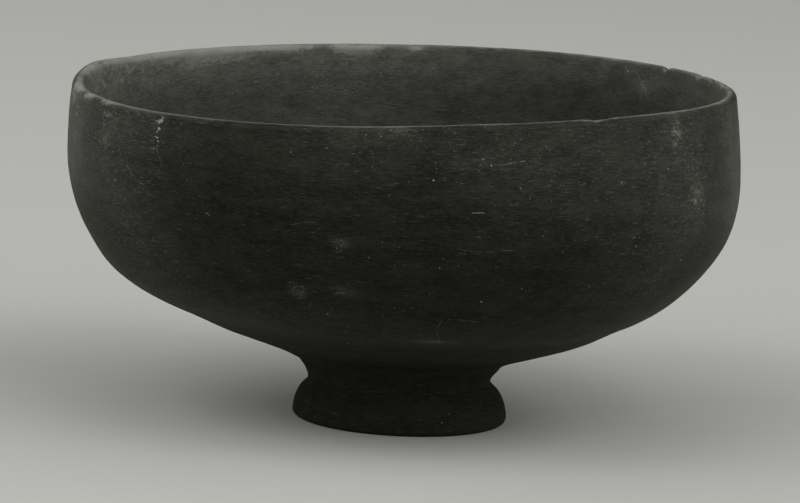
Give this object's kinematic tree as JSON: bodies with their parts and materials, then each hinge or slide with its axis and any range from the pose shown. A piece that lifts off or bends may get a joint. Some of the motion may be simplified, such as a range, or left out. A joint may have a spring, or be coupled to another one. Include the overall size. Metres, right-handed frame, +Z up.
{
  "type": "ceramic bowl",
  "caption": "Wheel-made round bowl with a deep curved belly, an upright band below a thin lip, and a low foot ring luted on underneath.",
  "frame": {"origin": "centre of the foot ring's resting face, on the table", "axes": "+Z up along the turning axis; +X and +Y lie on the table, and the bowl is the same all round"},
  "size_m": [0.132, 0.132, 0.0666],
  "materials": {
    "slipped_clay": "eggshell",
    "slipped_foot": "eggshell",
    "luting_clay": "matte"
  },
  "bodies": {
    "root": {"bowl_body": "slipped_clay", "foot_ring": "slipped_foot", "luting_slip": "luting_clay"}
  },
  "joints": []
}
